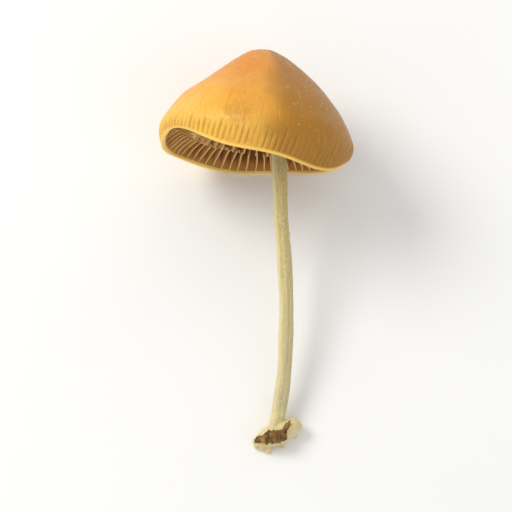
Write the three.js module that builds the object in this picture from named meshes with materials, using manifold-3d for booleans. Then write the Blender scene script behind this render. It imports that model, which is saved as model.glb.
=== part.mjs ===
import * as THREE from "three";
import { mergeVertices } from "three/addons/utils/BufferGeometryUtils.js";
import Module from "manifold-3d";

// An ink cap mushroom as picked: a blunt bell of a cap with a pleated margin, gills under it, a
// slender ridged stem with a lobed foot, and the soil that clings there. It lies on a level surface.
// Millimetres. Every piece is drawn upright, seen from -Y, and the whole group is then laid back.

const wasm = await Module();
wasm.setup();

const { degToRad, lerp, smoothstep } = THREE.MathUtils;

// How it lies
const LAID_BACK = degToRad(72); // from upright, top away from the viewer
const PRESSED_FLAT = 0.65; // how far the soft cap and foot give on the surface
const CLEARANCE = 0.3; // between neighbouring pieces

// Cap, in its own frame: +Z is its axis, angle 0 is the right and a quarter turn is the far side.
// The profiles run from the blunt top to the widest place, as radius and height, and the margin
// ends them. A share of the way down is 0 at the top and 1 at the margin.
const CAP_TILT = degToRad(7.3); // to the right
const CAP_NOD = degToRad(9); // away from the viewer, which shows the gills
const RIGHT_PROFILE = [
  [0, 23.3], [4.4, 21.9], [8.8, 19.2], [13.2, 15.8], [17.5, 11.8], [21.2, 7.4], [24.3, 1.4],
];
const LEFT_PROFILE = [
  [0, 23.3], [4.2, 22.6], [8.2, 19.9], [12.2, 16.0], [15.6, 12.7], [20.3, 8.5], [24.5, 1.2],
];
const MARGIN_RADIUS = 23.4;
const MARGIN_HEIGHT = -4.6;
// The margin's waves: how many round the cap, their height and where each is highest
const MARGIN_WAVES = [
  [1, 1.1, degToRad(118)],
  [2, 2.1, degToRad(28)],
  [3, 0.5, degToRad(-8)],
  [4, 0.4, degToRad(15)],
  [5, 0.6, degToRad(-2)],
];
// From this share down, the cap's skirt follows the margin's waves. That is where the profile is
// this far along, and later for each millimetre that the margin dips.
const SKIRT_FROM = 0.6;
const SKIRT_AT = 0.79;
const SKIRT_LATER = 0.021;
const TANGENT_STEP = 0.004; // along the profile, to either side of where its direction is taken
const FLESH_AT_TOP = 3.4;
const FLESH_AT_MARGIN = 1.15;
const FLESH_THIN_FROM = 0.75; // the flesh thins down to this share
const LIP_THINNER = 0.25; // the lip is thinner by this, reached between these shares
const LIP_THINS = [0.85, 0.97];

// Pleats and gills
const PLEATS = 104;
const PLEAT_DEPTH = 0.3;
// The shares between which the pleats rise, and those between which they fade out
const PLEATS_RISE = [0.7, 0.79];
const PLEATS_FADE = [0.92, 0.965];
const GILLS = 64;
const GILL_THICKNESS = 0.66;
const GILL_TAPER = 0.06; // thinner by this at the free edge
const GILL_DEPTH = 7.0;
const GILL_LEAST_DEPTH = 0.35;
const GILLS_RISE = 0.2; // the share over which a gill reaches its depth
const GILLS_FADE = [0.7, 0.975]; // they get shallow towards the margin between these shares
const GILL_LAYER = 0.8; // the thin layer that the gills hang from
const GILLS_END = 0.955; // the cap's smooth lip is below this share
// Full, short and half-length gills take turns round the cap, each from its own share
const GILLS_FROM = [0.16, 0.5, 0.36, 0.5];
// Rows across the gills: the share, and which gills are there, as every so many
const GILL_ROWS = [
  [0.16, 4], [0.23, 4], [0.3, 4],
  [0.37, 2], [0.43, 2], [0.49, 2],
  [0.505, 1], [0.6, 1], [0.7, 1], [0.79, 1], [0.88, 1], [GILLS_END, 1],
];

// Stem: places along its middle as x and z, from the socket in the cap down to the foot
const STEM_PATH = [
  [2.65, 21.2], [4.5, 8.0], [5.7, -5.0], [6.2, -18.0], [7.1, -31.0], [7.5, -41.0],
  [7.3, -50.0], [6.9, -58.0], [5.8, -66.0], [4.3, -73.9],
];
const STEM_TOP_Y = 3.3;
const STEM_SIDES = 20;
const STEM_STEPS = 36;
const STEM_RADIUS_TOP = 1.75;
const STEM_RADIUS_FOOT = 1.8;
const STEM_RIDGES = 7;
const STEM_RIDGE_HEIGHT = 0.12;
const STEM_RIDGE_TWIST = 5; // radians from top to foot
const STEM_SWELLINGS = 31; // radians of the wave that they make from top to foot
const STEM_SWELLING_HEIGHT = 0.09;

// Foot: its middle, and how high that is above the surface
const FOOT = { x: 4.6, z: -72.9, above: 2.6 };
// It runs from a pointed toe at the left up to a round knob: places from the middle, and the radius
const FOOT_PATH = [
  { at: [-5.5, -0.2, -2.6], radius: 1.3 },
  { at: [-3.0, 0, -1.8], radius: 2.1 },
  { at: [-0.7, 0.1, -0.9], radius: 2.8 },
  { at: [1.6, 0.1, 0.1], radius: 2.8 },
  { at: [3.7, 0, 1.2], radius: 2.3 },
  { at: [6.6, 0, 2.2], radius: 2.2 },
];
const FOOT_STEPS = 14;
const FOOT_SIDES = 16;
const FOOT_LOBES = 3;
const FOOT_LOBE_HEIGHT = 0.1; // as a share of the radius
const FOOT_END_ROUNDING = 5; // the power of the curve that rounds its ends
// Root strands: start and tip from the foot's middle, and the radius at the start
const ROOT_STRANDS = [
  { from: [-4.1, 0.2, -2.6], to: [-5.1, 0.5, -3.8], radius: 1.0 },
  { from: [-2.9, 0.3, -2.6], to: [-3.6, 0.7, -4.3], radius: 1.3 },
  { from: [-1.7, 0.4, -2.4], to: [-1.8, 1.0, -5.0], radius: 1.4 },
  { from: [0.3, 0.4, -1.8], to: [0.6, 0.8, -3.6], radius: 1.1 },
  { from: [1.5, 0, -1.3], to: [1.8, 0.3, -3.8], radius: 0.9 },
  { from: [3.4, 0.4, 0.4], to: [5.4, 0.6, -1.3], radius: 0.8 },
];
const STRAND_TIP = 0.4; // as a share of the radius at the start
const STRAND_BOW = [0.35, 0.2, 0.3];

// Soil: lumps on the near side of the foot, as place from its middle, radii and turn in degrees
const LUMP_SIDES = 12;
const SOIL_LUMPS = [
  { at: [-3.8, -1.8, -1.7], radii: [1.3, 0.9, 0.6], turn: 20 },
  { at: [-1.9, -2.5, -1.2], radii: [1.9, 1.1, 1.1], turn: 18 },
  { at: [0.6, -2.9, -1.0], radii: [2.0, 1.2, 1.4], turn: 0 },
  { at: [2.6, -2.3, 1.0], radii: [2.2, 0.9, 0.5], turn: 62 },
];

// Rings of points joined into one closed surface that faces out
class Skin {
  points = [];
  faces = [];

  ring(count, place) {
    const start = this.points.length;
    for (let i = 0; i < count; i++) this.points.push(place(i));
    return { start, count };
  }

  // Joins two rings. For each point of the fuller one, match gives its neighbour on the other, and
  // without it they are spread evenly.
  band(a, b, match) {
    const [few, many] = a.count <= b.count ? [a, b] : [b, a];
    const evenly = (i) => Math.floor((i * few.count) / many.count);
    const neighbour = (i) => few.start + (match ?? evenly)(i % many.count);
    const addFace = (p, q, r) => this.faces.push(...(few === a ? [p, q, r] : [p, r, q]));
    for (let i = 0; i < many.count; i++) {
      const next = many.start + ((i + 1) % many.count);
      addFace(neighbour(i), many.start + i, next);
      if (neighbour(i) !== neighbour(i + 1)) addFace(neighbour(i), next, neighbour(i + 1));
    }
  }

  // Closes a ring with a fan round one point, before or after it in the order of the bands
  close(ring, point, before) {
    const middle = this.points.push(point) - 1;
    for (let i = 0; i < ring.count; i++) {
      const here = ring.start + i;
      const next = ring.start + ((i + 1) % ring.count);
      if (before) this.faces.push(middle, here, next);
      else this.faces.push(middle, next, here);
    }
  }

  geometry() {
    const flat = this.points.flatMap((p) => [p.x, p.y, p.z]);
    return new THREE.BufferGeometry()
      .setAttribute("position", new THREE.Float32BufferAttribute(flat, 3))
      .setIndex(this.faces);
  }
}

// A three.js geometry as a solid, and back
function solidOf(geometry) {
  geometry.deleteAttribute("normal");
  geometry.deleteAttribute("uv");
  const merged = mergeVertices(geometry, 1e-4);
  return new wasm.Manifold(
    new wasm.Mesh({
      numProp: 3,
      vertProperties: merged.attributes.position.array,
      triVerts: new Uint32Array(merged.index.array),
    }),
  );
}

function geometryOf(solid) {
  const { vertProperties, triVerts } = solid.getMesh();
  const geometry = new THREE.BufferGeometry()
    .setAttribute("position", new THREE.BufferAttribute(vertProperties, 3))
    .setIndex(new THREE.BufferAttribute(triVerts, 1));
  geometry.computeVertexNormals();
  return geometry;
}

// The largest of a solid's bodies: a scrap that a cut left loose is dropped
function largest(solid) {
  return solid.decompose().reduce((a, b) => (a.volume() > b.volume() ? a : b));
}

// A smooth curve through points, which starts level on the axis
function alongProfile(points, share) {
  const [, second] = points;
  const padded = [[-second[0], second[1]], ...points, points.at(-1)];
  const spans = points.length - 1;
  const span = Math.min(Math.floor(share * spans), spans - 1);
  const u = share * spans - span;
  const blend = (k) => {
    const [p0, p1, p2, p3] = padded.slice(span, span + 4).map((p) => p[k]);
    const v0 = (p2 - p0) / 2;
    const v1 = (p3 - p1) / 2;
    return (2 * (p1 - p2) + v0 + v1) * u ** 3 + (3 * (p2 - p1) - 2 * v0 - v1) * u ** 2 + v0 * u + p1;
  };
  return new THREE.Vector2(blend(0), blend(1));
}

function marginHeight(angle) {
  return MARGIN_WAVES.reduce(
    (sum, [count, height, peak]) => sum + height * Math.cos(count * (angle - peak)),
    MARGIN_HEIGHT,
  );
}

// The cap's profile at an angle: the right and left ones blended, then the margin
function profileAt(angle) {
  const left = (1 - Math.cos(angle)) / 2;
  const points = RIGHT_PROFILE.map(([radius, height], i) => [
    lerp(radius, LEFT_PROFILE[i][0], left),
    lerp(height, LEFT_PROFILE[i][1], left),
  ]);
  return [...points, [MARGIN_RADIUS, marginHeight(angle)]];
}

// How far along the profile's points a share is
function profileShare(angle, share) {
  const skirtTop = SKIRT_AT + SKIRT_LATER * (MARGIN_HEIGHT - marginHeight(angle));
  return share < SKIRT_FROM
    ? (share / SKIRT_FROM) * skirtTop
    : lerp(skirtTop, 1, (share - SKIRT_FROM) / (1 - SKIRT_FROM));
}

// A point of the cap, set in from the outside surface
function onCap(angle, share, inset) {
  const points = profileAt(angle);
  const reached = profileShare(angle, share);
  const here = alongProfile(points, reached);
  const before = alongProfile(points, Math.max(reached - TANGENT_STEP, 0));
  const along = alongProfile(points, Math.min(reached + TANGENT_STEP, 1)).sub(before).normalize();
  const radius = share === 0 ? 0 : here.x + along.y * inset;
  const height = here.y - (share === 0 ? 1 : along.x) * inset;
  return new THREE.Vector3(radius * Math.cos(angle), radius * Math.sin(angle), height);
}

const fleshAt = (share) =>
  lerp(FLESH_AT_TOP, FLESH_AT_MARGIN, smoothstep(share, 0, FLESH_THIN_FROM)) -
  LIP_THINNER * smoothstep(share, ...LIP_THINS);

function pleatInset(angle, share) {
  const strength = smoothstep(share, ...PLEATS_RISE) * (1 - smoothstep(share, ...PLEATS_FADE));
  return PLEAT_DEPTH * strength * (0.5 - 0.5 * Math.cos(PLEATS * angle));
}

const gillDepthAt = (share, from) =>
  (GILL_LEAST_DEPTH + GILL_DEPTH * (1 - smoothstep(share, ...GILLS_FADE))) *
  smoothstep(share, from, from + GILLS_RISE);

// A cap layer's rings, from rows of a share of the profile and how many points go round there
const capRings = (skin, rows, insetAt) =>
  rows.map(([share, count]) =>
    skin.ring(count, (i) => {
      const angle = (i / count) * 2 * Math.PI;
      return onCap(angle, share, insetAt(angle, share));
    }),
  );

const FINE = 2 * PLEATS;
const OUTER_ROWS = [
  [0.05, FINE / 8], [0.11, FINE / 4], [0.18, FINE / 4],
  [0.26, FINE / 2], [0.35, FINE / 2], [0.44, FINE / 2], [0.53, FINE / 2], [0.61, FINE / 2],
  [0.7, FINE], [0.77, FINE], [0.85, FINE], [0.92, FINE], [0.965, FINE],
  [0.983, FINE / 2], [1, FINE / 2],
];
const INNER_ROWS = [
  [0.06, FINE / 8], [0.15, FINE / 4], [0.25, FINE / 4],
  [0.37, FINE / 2], [0.49, FINE / 2], [0.61, FINE / 2], [0.78, FINE / 2], [0.985, FINE / 2],
];

const capPlace = new THREE.Matrix4().makeRotationFromEuler(new THREE.Euler(-CAP_NOD, CAP_TILT, 0));

function makeCap() {
  const skin = new Skin();
  const outer = capRings(skin, OUTER_ROWS, pleatInset);
  const inner = capRings(skin, INNER_ROWS, (angle, share) => fleshAt(share)).reverse();
  const rings = [...outer, ...inner];
  rings.slice(1).forEach((ring, i) => skin.band(rings[i], ring));
  skin.close(rings[0], onCap(0, 0, 0), true);
  skin.close(rings.at(-1), onCap(0, 0, FLESH_AT_TOP), false);
  return solidOf(skin.geometry().applyMatrix4(capPlace));
}

// The points across the gills in one row: each gill's two feet on the layer and two free corners
function gillRing(skin, [share, every]) {
  const base = fleshAt(share) + CLEARANCE + GILL_LAYER;
  return skin.ring((4 * GILLS) / every, (i) => {
    const gill = Math.floor(i / 4) * every;
    const corner = i % 4;
    const angle = (gill / GILLS) * 2 * Math.PI;
    const free = corner === 1 || corner === 2;
    const depth = free ? gillDepthAt(share, GILLS_FROM[gill % 4]) : 0;
    const thickness = free ? GILL_THICKNESS - GILL_TAPER : GILL_THICKNESS;
    const aside = ((corner < 2 ? -1 : 1) * thickness) / 2;
    const across = new THREE.Vector3(-Math.sin(angle), Math.cos(angle), 0);
    return onCap(angle, share, base + depth).addScaledVector(across, aside);
  });
}

// The gills are one closed surface: the side that lines the cap, and the side that is all gills
function makeGills() {
  const lining = (angle, share) => fleshAt(share) + CLEARANCE;
  const rows = [...INNER_ROWS.slice(0, -1), [GILLS_END, FINE / 2]];
  const skin = new Skin();
  const outer = capRings(skin, rows, lining);
  const gills = GILL_ROWS.map((row) => gillRing(skin, row)).reverse();
  outer.slice(1).forEach((ring, i) => skin.band(outer[i], ring));
  skin.band(outer.at(-1), gills[0]);
  // Where gills end between two others, their four points all meet the last one of the gill before
  const match = (i) => 4 * Math.floor(i / 8) + Math.min(i % 8, 3);
  gills.slice(1).forEach((ring, i) => {
    skin.band(gills[i], ring, gills[i].count === ring.count ? undefined : match);
  });
  skin.close(outer[0], onCap(0, 0, lining(0, 0)), true);
  skin.close(gills.at(-1), onCap(0, 0, lining(0, 0) + GILL_LAYER), false);
  return solidOf(skin.geometry().applyMatrix4(capPlace));
}

// A round bar along a curve, closed at both ends, with its radius by share and angle
function bar(curve, steps, sides, radiusAt) {
  const skin = new Skin();
  const rings = Array.from({ length: steps + 1 }, (_, step) => {
    const share = step / steps;
    const middle = curve.getPoint(share);
    const along = curve.getTangent(share);
    const across = new THREE.Vector3(0, 1, 0).cross(along).normalize();
    const up = along.clone().cross(across);
    return skin.ring(sides, (i) => {
      const angle = (i / sides) * 2 * Math.PI;
      return middle
        .clone()
        .addScaledVector(up, radiusAt(share, angle) * Math.cos(angle))
        .addScaledVector(across, radiusAt(share, angle) * Math.sin(angle));
    });
  });
  rings.slice(1).forEach((ring, i) => skin.band(rings[i], ring));
  skin.close(rings[0], curve.getPoint(0), true);
  skin.close(rings.at(-1), curve.getPoint(1), false);
  return skin.geometry();
}

// An ellipsoid from the foot's middle, turned in the viewer's plane
function lump({ at, radii, turn }, middle) {
  const place = new THREE.Vector3(...at).add(middle);
  return solidOf(
    new THREE.SphereGeometry(1, LUMP_SIDES, LUMP_SIDES / 2)
      .scale(...radii)
      .rotateY(degToRad(-turn))
      .translate(...place.toArray()),
  );
}

function rootStrand({ from, to, radius }, middle, grown = 0) {
  const start = middle.clone().add(new THREE.Vector3(...from));
  const tip = middle.clone().add(new THREE.Vector3(...to));
  const bend = start.clone().lerp(tip, 0.5).add(new THREE.Vector3(...STRAND_BOW));
  const curve = new THREE.QuadraticBezierCurve3(start, bend, tip);
  return solidOf(bar(curve, 4, 6, (share) => radius * lerp(1, STRAND_TIP, share) + grown));
}

// The foot as a bar with rounded ends and a few low lobes
function foot(middle, grown) {
  const places = FOOT_PATH.map(({ at }) => new THREE.Vector3(...at).add(middle));
  const radii = new THREE.SplineCurve(FOOT_PATH.map(({ radius }, i) => new THREE.Vector2(i, radius)));
  const rounded = (share) => Math.sqrt(1 - Math.abs(1.96 * share - 0.98) ** FOOT_END_ROUNDING);
  const radiusAt = (share, angle) => {
    const lobes = 1 + FOOT_LOBE_HEIGHT * Math.sin(FOOT_LOBES * angle + 9 * share) * Math.cos(11 * share);
    return radii.getPoint(share).y * rounded(share) * lobes + grown;
  };
  return solidOf(bar(new THREE.CatmullRomCurve3(places), FOOT_STEPS, FOOT_SIDES, radiusAt));
}

// The stem, its foot and root strands as one body. Grown, it is what cuts room for them.
function makeStem(curve, middle, grown = 0) {
  const ridge = (share, angle) => Math.cos(STEM_RIDGES * angle + STEM_RIDGE_TWIST * share);
  const radius = (share, angle) =>
    lerp(STEM_RADIUS_TOP, STEM_RADIUS_FOOT, share) +
    STEM_SWELLING_HEIGHT * Math.sin(STEM_SWELLINGS * share) +
    STEM_RIDGE_HEIGHT * (grown ? 1 : ridge(share, angle)) +
    grown;
  const stem = solidOf(bar(curve, STEM_STEPS, STEM_SIDES, radius));
  const strands = ROOT_STRANDS.map((strand) => rootStrand(strand, middle, grown));
  return [foot(middle, grown), ...strands].reduce((solid, part) => solid.add(part), stem);
}

const makeSoil = (middle) =>
  SOIL_LUMPS.map((each) => lump(each, middle)).reduce((solid, part) => solid.add(part));

// The way down, seen from the upright pieces, and how deep a solid reaches that way
const down = new THREE.Vector3(0, Math.sin(LAID_BACK), -Math.cos(LAID_BACK));

function deepest(solid) {
  const { vertProperties } = solid.getMesh();
  let depth = -Infinity;
  for (let i = 0; i < vertProperties.length; i += 3)
    depth = Math.max(depth, new THREE.Vector3().fromArray(vertProperties, i).dot(down));
  return depth;
}

// Everything below the surface that the mushroom lies on, as a slab to cut with
function belowSurface(depth) {
  const [side, thick] = [300, 60];
  return solidOf(
    new THREE.BoxGeometry(side, side, thick)
      .translate(0, 0, -depth - thick / 2)
      .applyMatrix4(new THREE.Matrix4().makeRotationX(LAID_BACK)),
  );
}

const wholeCap = makeCap();
const surfaceDepth = deepest(wholeCap) - PRESSED_FLAT;
const surface = belowSurface(surfaceDepth);

const footY = (surfaceDepth - FOOT.above + FOOT.z * Math.cos(LAID_BACK)) / Math.sin(LAID_BACK);
const footMiddle = new THREE.Vector3(FOOT.x, footY, FOOT.z);
const topZ = STEM_PATH[0][1];
const stemCurve = new THREE.CatmullRomCurve3(
  STEM_PATH.map(([x, z]) => {
    const share = (topZ - z) / (topZ - FOOT.z);
    return new THREE.Vector3(x, lerp(STEM_TOP_Y, footY, share), z);
  }),
);

const stem = largest(makeStem(stemCurve, footMiddle).subtract(surface));
const aboveStem = { at: [0, 0, 0], radii: [STEM_RADIUS_TOP, STEM_RADIUS_TOP, 1.3 * CLEARANCE], turn: 0 };
const stemRoom = makeStem(stemCurve, footMiddle, CLEARANCE).add(lump(aboveStem, stemCurve.getPoint(0)));
const cap = largest(wholeCap.subtract(surface).subtract(stemRoom));
const gills = largest(makeGills().subtract(surface).subtract(stemRoom));
const soil = largest(makeSoil(footMiddle).subtract(surface).subtract(stemRoom));

function piece(name, solid, color, roughness) {
  const material = new THREE.MeshStandardMaterial({ color, roughness, metalness: 0 });
  const mesh = new THREE.Mesh(geometryOf(solid), material);
  mesh.name = name;
  return mesh;
}

const upright = new THREE.Group();
upright.add(
  piece("cap", cap, 0xeda24a, 0.45),
  piece("gills", gills, 0x9a733e, 0.75),
  piece("stem", stem, 0xd9c893, 0.7),
  piece("soil", soil, 0x6e4d26, 0.95),
);
upright.rotation.x = -LAID_BACK;
upright.position.z = surfaceDepth;

// The origin is on the surface, under the middle of the mushroom's box
const mushroom = new THREE.Group();
mushroom.add(upright);
mushroom.updateMatrixWorld(true);
const middle = new THREE.Box3().setFromObject(mushroom, true).getCenter(new THREE.Vector3());
upright.position.x -= middle.x;
upright.position.y -= middle.y;

export default mushroom;
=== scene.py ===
"""The looks of an ink cap mushroom, as picked and lying on a pale floor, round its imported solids.

The mushroom's lengths are in millimetres until a mesh is made, and a mesh is in metres. Every
piece is drawn upright, seen from -Y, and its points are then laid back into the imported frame.
"""

import math

import bpy
import numpy as np
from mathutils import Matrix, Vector, noise
from mathutils.bvhtree import BVHTree


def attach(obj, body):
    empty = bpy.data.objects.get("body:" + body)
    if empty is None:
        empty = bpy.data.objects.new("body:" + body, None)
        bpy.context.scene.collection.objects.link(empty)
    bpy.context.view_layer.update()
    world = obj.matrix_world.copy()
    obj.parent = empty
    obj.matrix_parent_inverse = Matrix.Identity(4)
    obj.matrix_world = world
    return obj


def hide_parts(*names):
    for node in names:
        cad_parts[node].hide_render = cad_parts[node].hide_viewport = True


MM = 0.001
TURN = 2 * math.pi
RANDOM = np.random.default_rng(27)
NOISE_PLACES = (0, 50)  # where in the noise an uneven ball may be

# How it lies
LAID_BACK = math.radians(72)
LAID_AT = np.array([0.0312, 25.7214, 23.5289])
FLOOR_GAP = 0.02  # what is pressed flat is this far above the floor

# Cap, as share of the way from the top to the margin and as angle from the right
CAP_TILT = math.radians(7.3)
CAP_NOD = math.radians(9)
RIGHT_PROFILE = np.array(
    [(0, 23.3), (4.4, 21.9), (8.8, 19.2), (13.2, 15.8), (17.5, 11.8), (21.2, 7.4), (24.3, 1.4)]
)
LEFT_PROFILE = np.array(
    [(0, 23.3), (4.2, 22.6), (8.2, 19.9), (12.2, 16.0), (15.6, 12.7), (20.3, 8.5), (24.5, 1.2)]
)
MARGIN_RADIUS = 23.4
MARGIN_HEIGHT = -4.6
MARGIN_WAVES = [  # how many round the cap, how high, and where one of them peaks
    (1, 1.1, math.radians(118)),
    (2, 2.1, math.radians(28)),
    (3, 0.5, math.radians(-8)),
    (4, 0.4, math.radians(15)),
    (5, 0.6, math.radians(-2)),
]
SKIRT_FROM = 0.6  # the share at which the skirt starts
SKIRT_AT = 0.79  # how far along the profile that is
SKIRT_LATER = 0.021  # and how much further for each millimetre that the margin is lower
TANGENT_STEP = 0.004
FLESH_AT_TOP = 3.4
FLESH_AT_MARGIN = 1.15
FLESH_THIN_FROM = 0.75
LIP_THINNER = 0.25
LIP_THINS = (0.85, 0.97)
CAP_LUMPS = [(0.22, 0.11, 3.1), (0.07, 0.45, 8.2)]  # height, how many in a millimetre, seed
CAP_LUMPS_FROM = 0.1

# Pleats: narrow grooves between broad ribs, each of its own length and depth
PLEATS = 104
PLEAT_POINTS = 10
PLEAT_DEPTH = 0.3
PLEAT_NARROW = 3.6  # the higher this power is, the narrower the grooves are
PLEAT_LEAN = 0.26  # how far round the cap a groove turns on its way down, in radians
PLEAT_WANDER = 0.12
PLEATS_START_FRONT = 0.705
PLEATS_START_LEFT = 0.745
PLEATS_LEFT = (0.1, 0.8)  # how far to the left, in radii, that change comes
PLEATS_RISE = 0.1
PLEATS_FADE = (0.925, 0.968)
PLEAT_STARTS = RANDOM.uniform(-0.04, 0.05, PLEATS)
PLEAT_ENDS = RANDOM.uniform(-0.02, 0.008, PLEATS)
PLEAT_DEPTHS = RANDOM.uniform(0.5, 1.1, PLEATS)

# Rings of the cap: how many points a ring has up to a share, and the shares of the rings
CAP_FINE = PLEATS * PLEAT_POINTS
CAP_COUNTS = [(0.05, CAP_FINE // 8), (0.12, CAP_FINE // 4), (0.3, CAP_FINE // 2), (2, CAP_FINE)]
CAP_SHARES = np.concatenate(
    [np.linspace(0.008, 0.6, 70), np.linspace(0.608, 0.96, 50), [0.972, 0.983, 0.991]]
)
LIP_RINGS = [(0.997, 0.12), (1, 0.3), (1, 0.5), (0.997, 0.7), (0.989, 0.86)]  # with their insets
INNER_SHARES = [0.98, 0.965, 0.94, 0.9, 0.84, 0.76, 0.66, 0.56, 0.46, 0.36, 0.27, 0.18, 0.1, 0.04]
INNER_FINE_FROM = 0.1

# A worn brownish patch on the side towards the viewer
WORN_ANGLE = math.radians(258)
WORN_SHARE = 0.62
WORN_RADIUS = 6.0
WORN_CORE = 0.3  # the share of its radius that is wholly worn

# Granules: tiny pale grains on the crown, fewer of them further down
GRANULES = 300
GRANULES_FROM = 0.1
GRANULES_SPREAD = 0.55
GRANULES_CROWD = 1.3  # the higher this power is, the more of them are near the top
GRANULE_RADII = (0.08, 0.17)
GRANULE_SIDES = 6
GRANULE_ROUGHNESS = 0.25
GRANULE_FLATNESS = 0.45
GRANULE_RISE = 0.1

# Gills
GILLS = 64
GILLS_ASTRAY = 0.12  # as a share of the way to the next gill
GILL_ROWS = 34
GILL_FEET = 0.6  # how thick a gill is where it grows from the layer
GILL_EDGE = 0.34
GILL_TAPER = 1.6  # it has its edge's thickness from 1 / 1.6 of its depth
GILL_SIDE = (0, 0.33, 0.7, 1)  # the shares of its depth that have points
GILL_SUNK = 0.12  # how far a gill's foot is sunk into the layer
GILL_DEPTH = 7.0
GILL_DEPTHS = (0.92, 1.05)
GILL_LEAST_DEPTH = 0.35
GILL_WAVES = [(0.16, 13, 1), (0.06, 41, 2)]  # height, radians along it, and how often its phase counts
GILLS_RISE = 0.2
GILLS_FADE = (0.7, 0.975)
GILLS_FROM = (0.16, 0.5, 0.36, 0.5)
GILLS_START = (-0.07, 0.06)  # each gill's own change to its start
GILL_BLUNT = 0.01  # a gill's depth grows from nothing this far before its start
GILLS_END = 0.965
GILLS_STOP = (-0.012, 0.006)  # and to its end
GILLS_LAST = 0.05  # the share before their end in which gills lose most of their depth
GILLS_LAST_LOSS = 0.7
GILL_CUTS = np.linspace(1, 0.1, 10)
STEM_ROOM = 2.3  # gills keep this far from the middle of the stem

# The layer that the gills hang from
GILL_LAYER = 0.8
LAYER_FADE = (0.84, 0.975)
LAYER_OVER = 0.05  # its surface is this far over the line that the gills start from
LAYER_SHARES = np.linspace(0.03, 0.968, 40)
LAYER_POINTS = PLEATS * 4
LINING_GAP = 0.3  # the gap that the solids have between the cap and this layer
LINING_CLEARANCE = 0.03  # what is left of that gap here
LIP_INSIDE = 0.985  # from this share down the cap's inner surface is its flesh alone

# Stem
STEM_PATH = np.array(
    [
        (2.65, 21.2), (4.5, 8.0), (5.7, -5.0), (6.2, -18.0), (7.1, -31.0), (7.5, -41.0),
        (7.3, -50.0), (6.9, -58.0), (5.8, -66.0), (4.3, -73.9),
    ]
)
STEM_TOP_Y = 3.3
STEM_RADIUS_TOP = 1.75
STEM_RADIUS_FOOT = 1.8
STEM_SWELLING = 0.09
STEM_SWELLINGS = 31  # radians of swelling along the stem
STEM_RIDGES = [(0.08, 7, 5), (0.04, 19, -9)]  # height, how many round it, and their twist
STEM_SIDES = 96
STEM_LINE_POINTS = 320
STEM_LINE_SPARSE = 4  # every fourth of them is enough to keep the gills clear
STEM_VOXEL = 0.17
STEM_SMOOTHINGS = 3
FRILL_HEIGHT = -20.3  # a small bump on the stem's left side
FRILL_FRONT = -0.3
FRILL_OUT = 0.45
FRILL_TALL = 1.5
FRILL_REACH = (0.3, 1.2)

# Foot
FOOT_X = 4.6
FOOT_Z = -72.9
FOOT_ABOVE = 2.6
FOOT_PATH = np.array(
    [
        (-5.5, -0.2, -2.6), (-3.0, 0, -1.8), (-0.7, 0.1, -0.9),
        (1.6, 0.1, 0.1), (3.7, 0, 1.2), (6.6, 0, 2.2),
    ]
)
FOOT_RADII = np.array([1.3, 2.1, 2.8, 2.8, 2.3, 2.2])
FOOT_SIDES = 48
FOOT_POINTS = 60
FOOT_END = 0.98  # at 1 its ends would be rounded down to nothing
FOOT_BLUNT = 5  # the higher this power is, the blunter its ends are
FOOT_LOBES = 0.1
FOOT_SPREAD = (1.25, 1, 1)  # how much wider than deep or tall the foot counts as
FOOT_REACH = (4.0, 7.5)  # where the foot's looks change to the stem's

# Root strands, from the middle of the foot: start, tip and radius
ROOT_STRANDS = [
    ((-4.1, 0.2, -2.6), (-5.1, 0.5, -3.8), 1.0),
    ((-2.9, 0.3, -2.6), (-3.6, 0.7, -4.3), 1.3),
    ((-1.7, 0.4, -2.4), (-1.8, 1.0, -5.0), 1.4),
    ((0.3, 0.4, -1.8), (0.6, 0.8, -3.6), 1.1),
    ((1.5, 0, -1.3), (1.8, 0.3, -3.8), 0.9),
    ((3.4, 0.4, 0.4), (5.4, 0.6, -1.3), 0.8),
]
STRAND_BOW = np.array([0.35, 0.2, 0.3])
STRAND_BOWS = (0.5, 1.2)
STRAND_POINTS = 14
STRAND_SIDES = 12
STRAND_LOBES = 0.16
STRAND_TIP = 0.52  # a tip's radius as a share of the start's
SMALL_STRANDS = 9
SMALL_STRANDS_ALONG = (0.08, 0.7)
SMALL_STRANDS_ACROSS = (-0.8, 0.8)
SMALL_STRANDS_BELOW = 1.2
SMALL_STRAND_RIGHT = (-1.1, 0.7)
SMALL_STRAND_BACK = (-0.5, 0.6)
SMALL_STRAND_DOWN = (0.7, 1.3)
SMALL_STRAND_RADII = (0.5, 0.9)
SMALL_STRAND_TIP = 0.35

# Relief of the stem and the foot: each noise's scale and seed, and heights
GRAIN_LENGTH = 40  # how many millimetres of stem are one unit of its grain
GRAIN_SPARSE = 3  # every third point of the stem's line is enough for it
FIBRES = (5, 4.4)
LUMPS = (0.62, 1.7)
PITS = (1.7, 6.3)
BUMPS = (0.8, 9.1)
BUMPS_FROM = (0.35, 0.6)
FIBRE_HEIGHT = 0.09
BUMP_HEIGHT = 0.1
STEM_LUMP_HEIGHT = 0.05
FOOT_LUMP_HEIGHT = 0.3
PIT_HEIGHT = 0.12

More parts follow.
